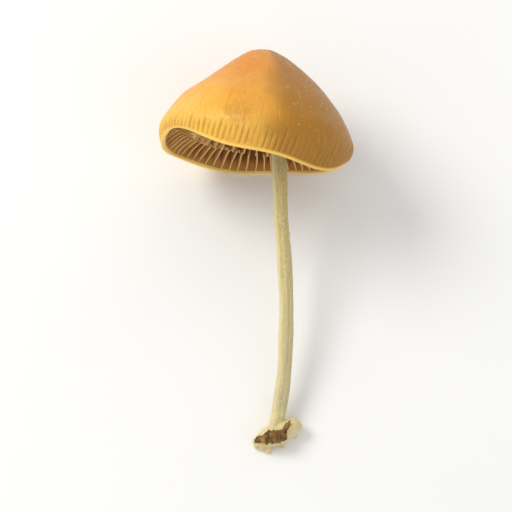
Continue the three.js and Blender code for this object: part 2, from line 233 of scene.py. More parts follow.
# Soil: each lump's middle from the middle of the foot, its radii and its turn in degrees
SOIL_LUMPS = [
    ((-3.8, -1.8, -1.7), (1.3, 0.9, 0.6), 20),
    ((-1.9, -2.5, -1.2), (1.9, 1.1, 1.1), 18),
    ((0.6, -2.9, -1.0), (2.0, 1.2, 1.4), 0),
    ((2.6, -2.3, 1.0), (2.2, 0.9, 0.5), 62),
]
LUMP_SIDES = 20
LUMP_ROUGHNESS = 0.35
LUMP_SQUASH = (1, 1, 0.85)
CRUMBS = 210
CRUMBS_SPREAD = 0.6  # in radii of a lump, as the next value is
CRUMBS_LIMIT = 1.05
CRUMBS_FROM = 12  # how much nearer to the viewer a crumb starts on its way to the foot
CRUMB_RADII = (0.2, 0.5)
CRUMB_SIDES = 8
CRUMB_ROUGHNESS = 0.5
CRUMB_OUT = (-0.3, 0.5)
SOIL_VOXEL = 0.15
SOIL_SMOOTHINGS = 1
SOIL_GRAIN = (1.5, 2.2)
SOIL_GRAIN_HEIGHT = 0.14
NO_STAIN = 9.0  # further from a lump than its stain reaches, in its radii
STAIN_REACH = (1.0, 1.9)
WARM_CRUMB = (-2.9, -2.4, -1.9)
WARM_SPREAD = (1, 3, 1.5)
WARM_REACH = (0.3, 0.8)

# Uneven balls and fused shells
BALL_BUMPS = 1.3
FUSED_SMOOTHING = 0.5

# Floor and light, in metres
FLOOR_HALF = 3.0
SKY = 0.7
LIGHTS = [  # name, place, size, watts and colour
    ("key", (-0.6, 0.3, 0.72), 0.5, 4.8, (1, 0.985, 0.95)),
    ("fill", (0.7, -0.5, 0.6), 0.8, 0.5, (1, 1, 1)),
]

# Camera: where the picture's middle is, in millimetres across and up the picture
VIEW_ELEVATION = math.radians(72)
VIEW_MIDDLE = (-0.094, 2.924)
VIEW_WIDTH = 128
VIEW_DEPTH = 15
LENS = 300
SENSOR = 36
CLIP = (0.01, 20)


def smoothstep(x, low, high):
    t = np.clip((x - low) / (high - low), 0, 1)
    return t * t * (3 - 2 * t)


def mixed(a, b, share):
    return a + (b - a) * share


def all_round(count):
    """Evenly spaced angles, once round"""
    return np.arange(count) / count * TURN


def swung(a, b, angle):
    """Two coordinates after a turn from the second's axis towards the first's"""
    cosine, sine = math.cos(angle), math.sin(angle)
    return a * cosine + b * sine, b * cosine - a * sine


def between(start, end, start_way, end_way, share):
    """A place on the smooth curve from start to end that sets off and arrives in the given ways"""
    cubic = 2 * (start - end) + start_way + end_way
    square = 3 * (end - start) - 2 * start_way - end_way
    return cubic * share**3 + square * share**2 + start_way * share + start


def laid(points):
    """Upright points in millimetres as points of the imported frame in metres, none below the floor"""
    x, y, z = np.asarray(points, float).T
    y, z = swung(y, z, LAID_BACK)
    out = np.column_stack([x, y, z]) + LAID_AT
    out[:, 2] = np.maximum(out[:, 2], FLOOR_GAP)
    return out * MM


def noise_at(points, scale, seed):
    """Smooth noise from -1 to 1. scale is how many bumps there are in a millimetre."""
    places = np.asarray(points, float) * scale + seed
    return np.array([noise.noise(Vector(p)) for p in places])


# Surfaces made of rings


class Skin:
    """Rings of points joined into one closed surface, with named numbers at every point"""

    def __init__(self):
        self.points = []
        self.values = []
        self.faces = []
        self.size = 0

    def ring(self, points, **values):
        """Adds a ring and gives the number of its first point and how many it has"""
        start = self.size
        self.points.append(points)
        self.values.append(values)
        self.size += len(points)
        return start, len(points)

    def band(self, a, b):
        """Joins two rings. One may have a whole number of times as many points as the other."""
        (start_a, count_a), (start_b, count_b) = a, b
        if count_a == count_b:
            for i in range(count_a):
                j = (i + 1) % count_a
                self.faces.append((start_a + i, start_b + i, start_b + j, start_a + j))
            return
        few, many = (a, b) if count_a < count_b else (b, a)
        step = many[1] // few[1]
        for i in range(many[1]):
            near = few[0] + i // step
            here = many[0] + i
            after = many[0] + (i + 1) % many[1]
            face = [near, here, after]
            if (i + 1) % step == 0:
                face.append(few[0] + (i // step + 1) % few[1])
            self.faces.append(tuple(face if few == a else face[::-1]))

    def join(self, rings):
        for a, b in zip(rings, rings[1:]):
            self.band(a, b)

    def close(self, ring, point, first, **values):
        """Fills the first or the last ring with triangles round a point"""
        middle, _ = self.ring(np.array([point]), **values)
        start, count = ring
        for i in range(count):
            here, after = start + i, start + (i + 1) % count
            self.faces.append((middle, here, after) if first else (middle, after, here))

    def all_points(self):
        return np.vstack(self.points)

    def all_values(self):
        names = self.values[0]
        return {
            name: np.concatenate(
                [np.broadcast_to(v[name], len(p)) for v, p in zip(self.values, self.points)]
            )
            for name in names
        }


def joined(parts):
    """Points and faces of parts, each of which is its points and its faces, as one"""
    points, faces, start = [], [], 0
    for part_points, part_faces in parts:
        points.append(part_points)
        faces += [tuple(start + i for i in face) for face in part_faces]
        start += len(part_points)
    return np.vstack(points), faces


def make_piece(name, points, faces, values=None):
    """A smooth-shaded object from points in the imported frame, with its numbers as attributes"""
    mesh = bpy.data.meshes.new(name)
    mesh.from_pydata([tuple(p) for p in points], [], faces)
    for key, numbers in (values or {}).items():
        numbers = np.asarray(numbers, float)
        kind, field = ("FLOAT", "value") if numbers.ndim == 1 else ("FLOAT_VECTOR", "vector")
        attribute = mesh.attributes.new(key, kind, "POINT")
        attribute.data.foreach_set(field, numbers.ravel())
    mesh.polygons.foreach_set("use_smooth", [True] * len(mesh.polygons))
    mesh.update()
    piece = bpy.data.objects.new(name, mesh)
    bpy.context.collection.objects.link(piece)
    return piece


def fused(parts, voxel, smoothings):
    """Closed shells fused into one: its points, faces and outward directions, still upright"""
    points, faces = joined(parts)
    mesh = bpy.data.meshes.new("shells")
    mesh.from_pydata([tuple(p) for p in points], [], faces)
    shells = bpy.data.objects.new("shells", mesh)
    bpy.context.collection.objects.link(shells)
    remesh = shells.modifiers.new("fuse", "REMESH")
    remesh.mode = "VOXEL"
    remesh.voxel_size = voxel
    smooth = shells.modifiers.new("smooth", "SMOOTH")
    smooth.factor = FUSED_SMOOTHING
    smooth.iterations = smoothings
    evaluated = shells.evaluated_get(bpy.context.evaluated_depsgraph_get())
    made = bpy.data.meshes.new_from_object(evaluated)
    out = np.empty(3 * len(made.vertices))
    made.vertices.foreach_get("co", out)
    normals = np.empty(3 * len(made.vertices))
    made.vertices.foreach_get("normal", normals)
    made_faces = [tuple(p.vertices) for p in made.polygons]
    bpy.data.objects.remove(shells)
    bpy.data.meshes.remove(mesh)
    bpy.data.meshes.remove(made)
    return out.reshape(-1, 3), made_faces, normals.reshape(-1, 3)


def uneven_ball(radius, sides, roughness):
    skin = Skin()
    rings = []
    around = all_round(sides)
    rows = sides // 2
    for row in range(1, rows + 1):
        polar = math.pi * row / (rows + 1)
        across = math.sin(polar)
        up = np.full(sides, math.cos(polar))
        ring = np.column_stack([across * np.cos(around), across * np.sin(around), up])
        rings.append(skin.ring(ring))
    skin.join(rings)
    skin.close(rings[0], (0, 0, 1), True)
    skin.close(rings[-1], (0, 0, -1), False)
    points = skin.all_points()
    bumps = noise_at(points, BALL_BUMPS, RANDOM.uniform(*NOISE_PLACES))
    return points * (1 + roughness * bumps)[:, None] * radius, skin.faces


# Cap


def margin_height(angle):
    height = np.full_like(angle, MARGIN_HEIGHT)
    for count, wave, peak in MARGIN_WAVES:
        height += wave * np.cos(count * (angle - peak))
    return height


def profile_at(angle):
    left = ((1 - np.cos(angle)) / 2)[:, None, None]
    sides = mixed(RIGHT_PROFILE[None], LEFT_PROFILE[None], left)
    margin = np.stack([np.full_like(angle, MARGIN_RADIUS), margin_height(angle)], -1)
    return np.concatenate([sides, margin[:, None]], 1)


def along_profile(points, share):
    """Radius and height at a share of a smooth curve through each profile's points"""
    first = points[:, 1] * np.array([-1, 1])
    padded = np.concatenate([first[:, None], points, points[:, -1:]], 1)
    spans = points.shape[1] - 1
    span = np.minimum((share * spans).astype(int), spans - 1)
    u = (share * spans - span)[:, None]
    rows = np.arange(len(points))
    p0, p1, p2, p3 = (padded[rows, span + k] for k in range(4))
    return between(p1, p2, (p2 - p0) / 2, (p3 - p1) / 2, u)


def profile_share(angle, share):
    skirt_top = SKIRT_AT + SKIRT_LATER * (MARGIN_HEIGHT - margin_height(angle))
    upper = share / SKIRT_FROM * skirt_top
    lower = mixed(skirt_top, 1, (share - SKIRT_FROM) / (1 - SKIRT_FROM))
    return np.where(share < SKIRT_FROM, upper, lower)


def cap_placed(points):
    """From the cap's own frame to the upright one"""
    x, y, z = points.T
    x, z = swung(x, z, CAP_TILT)
    y, z = swung(y, z, CAP_NOD)
    return np.column_stack([x, y, z])


def on_cap(angle, share, inset):
    """Upright points of the cap, set in from its outside surface"""
    angle = np.atleast_1d(np.asarray(angle, float))
    share = np.broadcast_to(share, angle.shape).astype(float)
    inset = np.broadcast_to(inset, angle.shape)
    points = profile_at(angle)
    reached = profile_share(angle, share)
    here = along_profile(points, reached)
    after = along_profile(points, np.minimum(reached + TANGENT_STEP, 1))
    along = after - along_profile(points, np.maximum(reached - TANGENT_STEP, 0))
    along /= np.linalg.norm(along, axis=1, keepdims=True)
    top = share == 0
    radius = np.where(top, 0, here[:, 0] + along[:, 1] * inset)
    height = here[:, 1] - np.where(top, 1, along[:, 0]) * inset
    return cap_placed(np.column_stack([radius * np.cos(angle), radius * np.sin(angle), height]))


def flesh_at(share):
    flesh = mixed(FLESH_AT_TOP, FLESH_AT_MARGIN, smoothstep(share, 0, FLESH_THIN_FROM))
    return flesh - LIP_THINNER * smoothstep(share, *LIP_THINS)


def pleat_groove(angle, share):
    """From 0 on a rib to 1 at the bottom of a groove"""
    wander = PLEAT_WANDER * np.sin(9 * share + 3 * angle)
    phase = PLEATS * (angle + PLEAT_LEAN * share) / TURN + wander
    pleat = np.floor(phase).astype(int) % PLEATS
    toward_left = smoothstep(-np.cos(angle), *PLEATS_LEFT)
    start = mixed(PLEATS_START_FRONT, PLEATS_START_LEFT, toward_left) + PLEAT_STARTS[pleat]
    end = PLEAT_ENDS[pleat]
    strength = smoothstep(share, start, start + PLEATS_RISE)
    strength = strength * (1 - smoothstep(share, PLEATS_FADE[0] + end, PLEATS_FADE[1] + end))
    return strength * PLEAT_DEPTHS[pleat] * (0.5 - 0.5 * np.cos(TURN * phase)) ** PLEAT_NARROW


def cap_ring(skin, count, share, inset=0.0, outside=True):
    """Adds a ring of the cap to its skin. Only the outside has pleats and lumps."""
    angle = all_round(count)
    groove = np.zeros(count)
    lumps = 0.0
    if outside:
        groove = pleat_groove(angle, np.full(count, share))
        plain = on_cap(angle, share, 0)
        lumps = sum(height * noise_at(plain, scale, seed) for height, scale, seed in CAP_LUMPS)
        lumps = lumps * smoothstep(share, 0.0, CAP_LUMPS_FROM)
    points = on_cap(angle, share, inset + PLEAT_DEPTH * groove + lumps)
    return skin.ring(points, share=share, angle=angle, groove=groove, outside=float(outside))


def cap_inset(share):
    """How far in the cap's inner surface is: close behind the gills' layer, and free at the lip"""
    behind_layer = LINING_GAP - LINING_CLEARANCE
    return flesh_at(share) + behind_layer * (1 - smoothstep(share, GILLS_END, LIP_INSIDE))


def make_cap():
    skin = Skin()
    rings = []
    for share in CAP_SHARES:
        count = next(n for limit, n in CAP_COUNTS if share < limit)
        rings.append(cap_ring(skin, count, share))
    for share, inset in LIP_RINGS:
        rings.append(cap_ring(skin, CAP_FINE // 2, share, inset))
    for share in INNER_SHARES:
        count = CAP_FINE // 4 if share > INNER_FINE_FROM else CAP_FINE // 8
        rings.append(cap_ring(skin, count, share, cap_inset(share), False))
    skin.join(rings)
    at_top = {"share": 0, "angle": 0, "groove": 0}
    skin.close(rings[0], on_cap(0, 0, 0)[0], True, outside=1, **at_top)
    skin.close(rings[-1], on_cap(0, 0, cap_inset(0))[0], False, outside=0, **at_top)
    values = skin.all_values()
    angle, share = values.pop("angle"), values["share"]
    values["grain"] = np.column_stack([np.cos(angle), np.sin(angle), share])
    worn_place = on_cap(WORN_ANGLE, WORN_SHARE, 0)
    gaps = np.linalg.norm(skin.all_points() - worn_place, axis=1)
    values["patch"] = 1 - smoothstep(gaps, WORN_CORE * WORN_RADIUS, WORN_RADIUS)
    return make_piece("cap_skin", laid(skin.all_points()), skin.faces, values)


def make_granules():
    grains = []
    for _ in range(GRANULES):
        angle = RANDOM.uniform(0, TURN)
        share = GRANULES_FROM + GRANULES_SPREAD * RANDOM.random() ** GRANULES_CROWD
        radius = RANDOM.uniform(*GRANULE_RADII)
        middle = on_cap(angle, share, 0)[0]
        out = middle - on_cap(angle, share, 1)[0]
        points, faces = uneven_ball(radius, GRANULE_SIDES, GRANULE_ROUGHNESS)
        points = points - out * np.sum(points * out, axis=1, keepdims=True) * GRANULE_FLATNESS
        grains.append((points + middle + out * radius * GRANULE_RISE, faces))
    points, faces = joined(grains)
    return make_piece("cap_granules", laid(points), faces)


# Gills


def distance_to_stem(points):
    gaps = np.linalg.norm(points[:, None, :] - STEM_LINE[None, ::STEM_LINE_SPARSE, :], axis=2)
    return gaps.min(1)


def gill_base(share):
    return flesh_at(share) + LINING_GAP + GILL_LAYER * (1 - smoothstep(share, *LAYER_FADE))


def clear_of_stem(angles, shares, base, depth):
    """A gill's depth, made less step by step where its edge is too near to the stem"""
    for cut in GILL_CUTS:
        edge = on_cap(angles, shares, base + depth)
        depth = np.where(distance_to_stem(edge) < STEM_ROOM, depth * cut, depth)
    return depth


def gill_rows(gill):
    """The points of one thin, slightly wavy gill: rows of points that go round it"""
    angle = (gill + RANDOM.uniform(-GILLS_ASTRAY, GILLS_ASTRAY)) / GILLS * TURN
    begin = GILLS_FROM[gill % len(GILLS_FROM)] + RANDOM.uniform(*GILLS_START)
    shares = np.linspace(begin, GILLS_END + RANDOM.uniform(*GILLS_STOP), GILL_ROWS)
    depth = GILL_LEAST_DEPTH + GILL_DEPTH * (1 - smoothstep(shares, *GILLS_FADE))
    rise = smoothstep(shares, begin - GILL_BLUNT, begin + GILLS_RISE)
    depth *= rise * RANDOM.uniform(*GILL_DEPTHS)
    depth *= 1 - GILLS_LAST_LOSS * smoothstep(shares, GILLS_END - GILLS_LAST, GILLS_END)
    angles = np.full_like(shares, angle)
    base = gill_base(shares)
    depth = clear_of_stem(angles, shares, base, depth)
    across = cap_placed(np.array([[-math.sin(angle), math.cos(angle), 0.0]]))[0]
    phase = RANDOM.uniform(0, TURN)
    wave = sum(height * np.sin(quick * shares + count * phase) for height, quick, count in GILL_WAVES)
    columns = []
    for side, down in [(-1, down) for down in GILL_SIDE] + [(1, down) for down in GILL_SIDE[::-1]]:
        inset = base - GILL_SUNK + (depth + GILL_SUNK) * down
        thickness = mixed(GILL_FEET, GILL_EDGE, min(down * GILL_TAPER, 1))
        aside = side * thickness / 2 + wave * down
        columns.append(on_cap(angles, shares, inset) + across * aside[:, None])
    return np.stack(columns, 1)


def gill_faces(rows, wide):
    faces = []
    for row in range(rows - 1):
        for i in range(wide):
            a, b = row * wide + i, row * wide + (i + 1) % wide
            faces.append((a, a + wide, b + wide, b))
    faces.append(tuple(range(wide)))
    faces.append(tuple((rows - 1) * wide + i for i in reversed(range(wide))))
    return faces


def make_gills():
    """Gills in turns of full, short and half length"""
    wide = 2 * len(GILL_SIDE)
    blades, tones = [], []
    for gill in range(GILLS):
        rows = gill_rows(gill)
        blades.append((rows.reshape(-1, 3), gill_faces(GILL_ROWS, wide)))
        tones.append(np.full(GILL_ROWS * wide, RANDOM.random()))
    points, faces = joined(blades)
    free = np.tile(GILL_SIDE + GILL_SIDE[::-1], GILLS * GILL_ROWS)
    return make_piece("gill_blades", laid(points), faces, {"free": free, "tone": np.concatenate(tones)})


def make_lining():
    """The thin layer that the gills hang from"""
    skin = Skin()
    angle = all_round(LAYER_POINTS)
    back = [(share, flesh_at(share) + LINING_GAP) for share in LAYER_SHARES]
    front = [(share, gill_base(share) + LAYER_OVER) for share in LAYER_SHARES[::-1]]
    rings = [skin.ring(on_cap(angle, share, inset)) for share, inset in back + front]
    skin.join(rings)
    back_top = FLESH_AT_TOP + LINING_GAP
    skin.close(rings[0], on_cap(0, 0, back_top)[0], True)
    skin.close(rings[-1], on_cap(0, 0, back_top + GILL_LAYER + LAYER_OVER)[0], False)
    return make_piece("gill_layer", laid(skin.all_points()), skin.faces)


# Stem and foot


def curve_point(points, share):
    """A point on a centripetal curve through points"""
    points = np.asarray(points, float)
    last = len(points) - 1
    at = share * last
    span = min(int(at), last - 1)
    u = at - span
    p1, p2 = points[span], points[span + 1]
    p0 = points[span - 1] if span > 0 else 2 * points[0] - points[1]
    p3 = points[span + 2] if span + 2 <= last else 2 * points[-1] - points[-2]
    d0, d1, d2 = (math.sqrt(np.linalg.norm(b - a)) or 1 for a, b in ((p0, p1), (p1, p2), (p2, p3)))
    t1 = ((p1 - p0) / d0 - (p2 - p0) / (d0 + d1) + (p2 - p1) / d1) * d1
    t2 = ((p2 - p1) / d1 - (p3 - p1) / (d1 + d2) + (p3 - p2) / d2) * d1
    return between(p1, p2, t1, t2, u)


def curve_line(points, count):
    return np.array([curve_point(points, i / (count - 1)) for i in range(count)])


def bar(line, sides, radius_at):
    """A closed round bar along a line of points. radius_at gives its radius by share and angles."""
    skin = Skin()
    rings = []
    angle = all_round(sides)
    ways = np.gradient(line, axis=0)
    for i, (middle, along) in enumerate(zip(line, ways)):
        along = along / np.linalg.norm(along)
        across = np.cross((0, 1, 0), along)
        across /= np.linalg.norm(across)
        up = np.cross(along, across)
        radius = radius_at(i / (len(line) - 1), angle)[:, None]
        ring = middle + up * radius * np.cos(angle)[:, None] + across * radius * np.sin(angle)[:, None]
        rings.append(skin.ring(ring))
    skin.join(rings)
    skin.close(rings[0], line[0], True)
    skin.close(rings[-1], line[-1], False)
    return skin.all_points(), skin.faces


surface_depth = LAID_AT[2]
foot_y = (surface_depth - FOOT_ABOVE + FOOT_Z * math.cos(LAID_BACK)) / math.sin(LAID_BACK)
FOOT_MIDDLE = np.array([FOOT_X, foot_y, FOOT_Z])
stem_top_z = STEM_PATH[0, 1]
stem_shares = (stem_top_z - STEM_PATH[:, 1]) / (stem_top_z - FOOT_Z)
STEM_POINTS = np.column_stack(
    [STEM_PATH[:, 0], mixed(STEM_TOP_Y, foot_y, stem_shares), STEM_PATH[:, 1]]
)
STEM_LINE = curve_line(STEM_POINTS, STEM_LINE_POINTS)


def stem_radius(share, angle):
    radius = mixed(STEM_RADIUS_TOP, STEM_RADIUS_FOOT, share)
    radius += STEM_SWELLING * math.sin(STEM_SWELLINGS * share)
    for height, count, twist in STEM_RIDGES:
        radius = radius + height * np.cos(count * angle + twist * share)
    return radius


def foot_radius(share, angle):
    last = len(FOOT_RADII) - 1
    radius = np.interp(share * last, np.arange(last + 1), FOOT_RADII)
    rounded = math.sqrt(1 - abs(2 * FOOT_END * share - FOOT_END) ** FOOT_BLUNT)
    return radius * rounded * (1 + FOOT_LOBES * np.sin(3 * angle + 9 * share) * math.cos(11 * share))


def strand(start, tip, radius, tip_share):
    """A root strand, slightly bent and lobed. start and tip are from the middle of the foot."""
    start, tip = np.array(start) + FOOT_MIDDLE, np.array(tip) + FOOT_MIDDLE
    bend = (start + tip) / 2 + STRAND_BOW * RANDOM.uniform(*STRAND_BOWS, 3)
    t = np.linspace(0, 1, STRAND_POINTS)[:, None]
    line = start * (1 - t) ** 2 + 2 * bend * t * (1 - t) + tip * t**2
    wobble = RANDOM.uniform(0, TURN)

    def radius_at(share, angle):
        lobes = 1 + STRAND_LOBES * np.sin(2 * angle + 9 * share + wobble)
        return radius * mixed(1, tip_share, share) * lobes

    return bar(line, STRAND_SIDES, radius_at)


def small_strand():
    along = RANDOM.uniform(*SMALL_STRANDS_ALONG)
    across = RANDOM.uniform(*SMALL_STRANDS_ACROSS)
    start = curve_point(FOOT_PATH, along) + (0, across, -SMALL_STRANDS_BELOW)
    right = RANDOM.uniform(*SMALL_STRAND_RIGHT)
    back = RANDOM.uniform(*SMALL_STRAND_BACK)
    down = RANDOM.uniform(*SMALL_STRAND_DOWN)
    radius = RANDOM.uniform(*SMALL_STRAND_RADII)
    return strand(start, start + (right, back, -down), radius, SMALL_STRAND_TIP)


def turned(points, degrees):
    """Turned in the viewer's plane, from the right upwards"""
    x, y, z = points.T
    x, z = swung(x, z, -math.radians(degrees))
    return np.column_stack([x, y, z])


def stem_grain(points):
    """How far down the stem each point is, and where it is in the grain that runs along it"""
    line = STEM_LINE[::GRAIN_SPARSE]
    nearest = np.linalg.norm(points[:, None, :] - line[None], axis=2).argmin(1)
    from_middle = points - line[nearest]
    angle = np.arctan2(from_middle[:, 0], -from_middle[:, 1])
    grain = np.column_stack([np.cos(angle), np.sin(angle), points[:, 2] / GRAIN_LENGTH])
    return nearest / (len(line) - 1), grain


def stem_relief(points, grain, foot):
    """How far the surface stands out: fibres and bumps on the stem, lumps and pits on the foot"""
    fibres = noise_at(grain, *FIBRES)
    lumps = noise_at(points, *LUMPS)
    pits = noise_at(points, *PITS)
    bumps = smoothstep(noise_at(points, *BUMPS), *BUMPS_FROM)
    on_stem = FIBRE_HEIGHT * fibres + STEM_LUMP_HEIGHT * lumps + BUMP_HEIGHT * bumps
    on_foot = FOOT_LUMP_HEIGHT * lumps + PIT_HEIGHT * pits
    nearest = np.abs(STEM_LINE[:, 2] - FRILL_HEIGHT).argmin()
    frill = STEM_LINE[nearest] + (-STEM_RADIUS_TOP, FRILL_FRONT, 0)
    frill_gap = np.linalg.norm((points - frill) / (1, 1, FRILL_TALL), axis=1)
    return mixed(on_stem, on_foot, foot) + FRILL_OUT * (1 - smoothstep(frill_gap, *FRILL_REACH))


def soil_stain(points):
    """From 0 to 1 where soil has stained the foot, round each lump of soil"""
    gap = np.full(len(points), NO_STAIN)
    for at, radii, turn in SOIL_LUMPS:
        from_lump = turned(points - FOOT_MIDDLE - at, -turn)
        gap = np.minimum(gap, np.linalg.norm(from_lump / radii, axis=1))
    return 1 - smoothstep(gap, *STAIN_REACH)


def make_stem():
    """The stem with its foot. Gives the piece, and its upright points and faces for the soil."""
    foot_line = curve_line(FOOT_PATH + FOOT_MIDDLE, FOOT_POINTS)
    parts = [bar(STEM_LINE, STEM_SIDES, stem_radius), bar(foot_line, FOOT_SIDES, foot_radius)]
    parts += [strand(*each, STRAND_TIP) for each in ROOT_STRANDS]
    parts += [small_strand() for _ in range(SMALL_STRANDS)]
    points, faces, outward = fused(parts, STEM_VOXEL, STEM_SMOOTHINGS)
    share, grain = stem_grain(points)
    foot_gap = np.linalg.norm((points - FOOT_MIDDLE) / FOOT_SPREAD, axis=1)
    foot = 1 - smoothstep(foot_gap, *FOOT_REACH)
    points = points + outward * stem_relief(points, grain, foot)[:, None]
    values = {"share": share, "grain": grain, "foot": foot, "stain": soil_stain(points)}
    return make_piece("stem_body", laid(points), faces, values), points, faces


# Soil


def soil_lump(at, radii, turn):
    points, faces = uneven_ball(1.0, LUMP_SIDES, LUMP_ROUGHNESS)
    return turned(points * radii * LUMP_SQUASH, turn) + FOOT_MIDDLE + at, faces


def soil_crumbs(foot_tree):
    """Small crumbs on the near side of the foot, over the lumps. One that would miss it is left out."""
    crumbs = []
    for _ in range(CRUMBS):
        at, radii, turn = SOIL_LUMPS[RANDOM.integers(len(SOIL_LUMPS))]
        spread = np.clip(RANDOM.normal(0, CRUMBS_SPREAD, 2), -CRUMBS_LIMIT, CRUMBS_LIMIT)
        x, z = spread * (radii[0], radii[2])
        middle = FOOT_MIDDLE + at + turned(np.array([[x, 0, z]]), turn)[0]
        hit = foot_tree.ray_cast(Vector(middle - (0, CRUMBS_FROM, 0)), Vector((0, 1, 0)))[0]
        if hit is None:
            continue
        radius = RANDOM.uniform(*CRUMB_RADII) * min(1, radii[2])
        points, faces = uneven_ball(radius, CRUMB_SIDES, CRUMB_ROUGHNESS)
        out = RANDOM.uniform(*CRUMB_OUT) * radius
        crumbs.append((points + np.array(hit) - (0, out, 0), faces))
    return crumbs


def make_soil(stem_points, stem_faces):
    """The crust of soil on the near side of the foot"""
    foot_tree = BVHTree.FromPolygons([tuple(p) for p in stem_points], stem_faces)
    parts = [soil_lump(*lump) for lump in SOIL_LUMPS] + soil_crumbs(foot_tree)
    points, faces, outward = fused(parts, SOIL_VOXEL, SOIL_SMOOTHINGS)
    points = points + outward * (SOIL_GRAIN_HEIGHT * noise_at(points, *SOIL_GRAIN))[:, None]
    warm_gap = np.linalg.norm((points - FOOT_MIDDLE - WARM_CRUMB) / WARM_SPREAD, axis=1)
    return make_piece("soil_crumbs", laid(points), faces, {"warm": 1 - smoothstep(warm_gap, *WARM_REACH)})


# Materials


def colour(red, green, blue):
    """A colour given as it looks on a screen, from 0 to 255"""
    levels = [c / 255 for c in (red, green, blue)]
    return tuple(c / 12.92 if c <= 0.04045 else ((c + 0.055) / 1.055) ** 2.4 for c in levels) + (1.0,)


class Shader:
    """A material's nodes. Each method adds a node or a few and gives the output."""

    def __init__(self, name, roughness):
        self.material = bpy.data.materials.new(name)
        self.material.use_nodes = True
        self.nodes = self.material.node_tree.nodes
        self.links = self.material.node_tree.links
        self.surface = self.nodes["Principled BSDF"]
        self.surface.inputs["Roughness"].default_value = roughness
        self.place = self.nodes.new("ShaderNodeTexCoord").outputs["Object"]

    def put(self, socket, value):
        if hasattr(value, "is_linked"):
            self.links.new(value, socket)
        else:
            socket.default_value = value

    def attribute(self, name, output="Fac"):
        node = self.nodes.new("ShaderNodeAttribute")
        node.attribute_name = name
        return node.outputs[output]

    def part(self, vector, axis):
        node = self.nodes.new("ShaderNodeSeparateXYZ")
        self.links.new(vector, node.inputs["Vector"])
        return node.outputs[axis]

    def stretched(self, vector, scale):
        node = self.nodes.new("ShaderNodeMapping")
        self.links.new(vector, node.inputs["Vector"])
        node.inputs["Scale"].default_value = scale
        return node.outputs["Vector"]

    def noise(self, scale, detail, rough=0.55, vector=None):
        node = self.nodes.new("ShaderNodeTexNoise")
        self.links.new(vector or self.place, node.inputs["Vector"])
        node.inputs["Scale"].default_value = scale
        node.inputs["Detail"].default_value = detail
        node.inputs["Roughness"].default_value = rough
        return node.outputs["Fac"]

    def cells(self, scale):
        node = self.nodes.new("ShaderNodeTexVoronoi")
        self.links.new(self.place, node.inputs["Vector"])
        node.inputs["Scale"].default_value = scale
        return node.outputs["Distance"]

    def math(self, operation, a, b):
        node = self.nodes.new("ShaderNodeMath")
        node.operation = operation
        self.put(node.inputs[0], a)
        self.put(node.inputs[1], b)
        return node.outputs[0]

    def centred(self, value, height):
        """A value from 0 to 1 as one from -height / 2 to height / 2"""
        return self.math("MULTIPLY", self.math("SUBTRACT", value, 0.5), height)

    def span(self, value, low, high, to_low=0.0, to_high=1.0):
        """Smoothly from to_low to to_high as value goes from low to high"""
        node = self.nodes.new("ShaderNodeMapRange")
        node.interpolation_type = "SMOOTHSTEP"
        self.put(node.inputs["Value"], value)
        for key, number in zip(("From Min", "From Max", "To Min", "To Max"), (low, high, to_low, to_high)):
            node.inputs[key].default_value = number
        return node.outputs["Result"]

    def mix(self, share, a, b):
        node = self.nodes.new("ShaderNodeMix")
        node.data_type = "RGBA"
        self.put(node.inputs["Factor"], share)
        self.put(node.inputs[6], a)
        self.put(node.inputs[7], b)
        return node.outputs[2]

    def tinted(self, base, over, value, low, high, most=1.0):
        """A colour with up to most of another over it, rising as value goes from low to high"""
        return self.mix(self.span(value, low, high, 0, most), base, over)

    def bump(self, height, distance, before=None):
        node = self.nodes.new("ShaderNodeBump")
        node.inputs["Distance"].default_value = distance * MM
        node.inputs["Strength"].default_value = 1.0
        self.links.new(height, node.inputs["Height"])
        if before:
            self.links.new(before, node.inputs["Normal"])
        return node.outputs["Normal"]

    def done(self, base, normal, **numbers):
        self.links.new(base, self.surface.inputs["Base Color"])
        self.links.new(normal, self.surface.inputs["Normal"])
        for key, number in numbers.items():
            self.put(self.surface.inputs[key.replace("_", " ")], number)
        return self.material


def worn_patch(s):
    """How worn the cap's skin is: a mottle in the worn patch"""
    patch = s.attribute("patch")
    mottled = s.math("ADD", patch, s.centred(s.noise(700, 4, 0.7), 3.2))
    return s.math("MULTIPLY", s.span(mottled, 0.45, 1.1), s.span(patch, 0.0, 0.4, 0, 0.42))


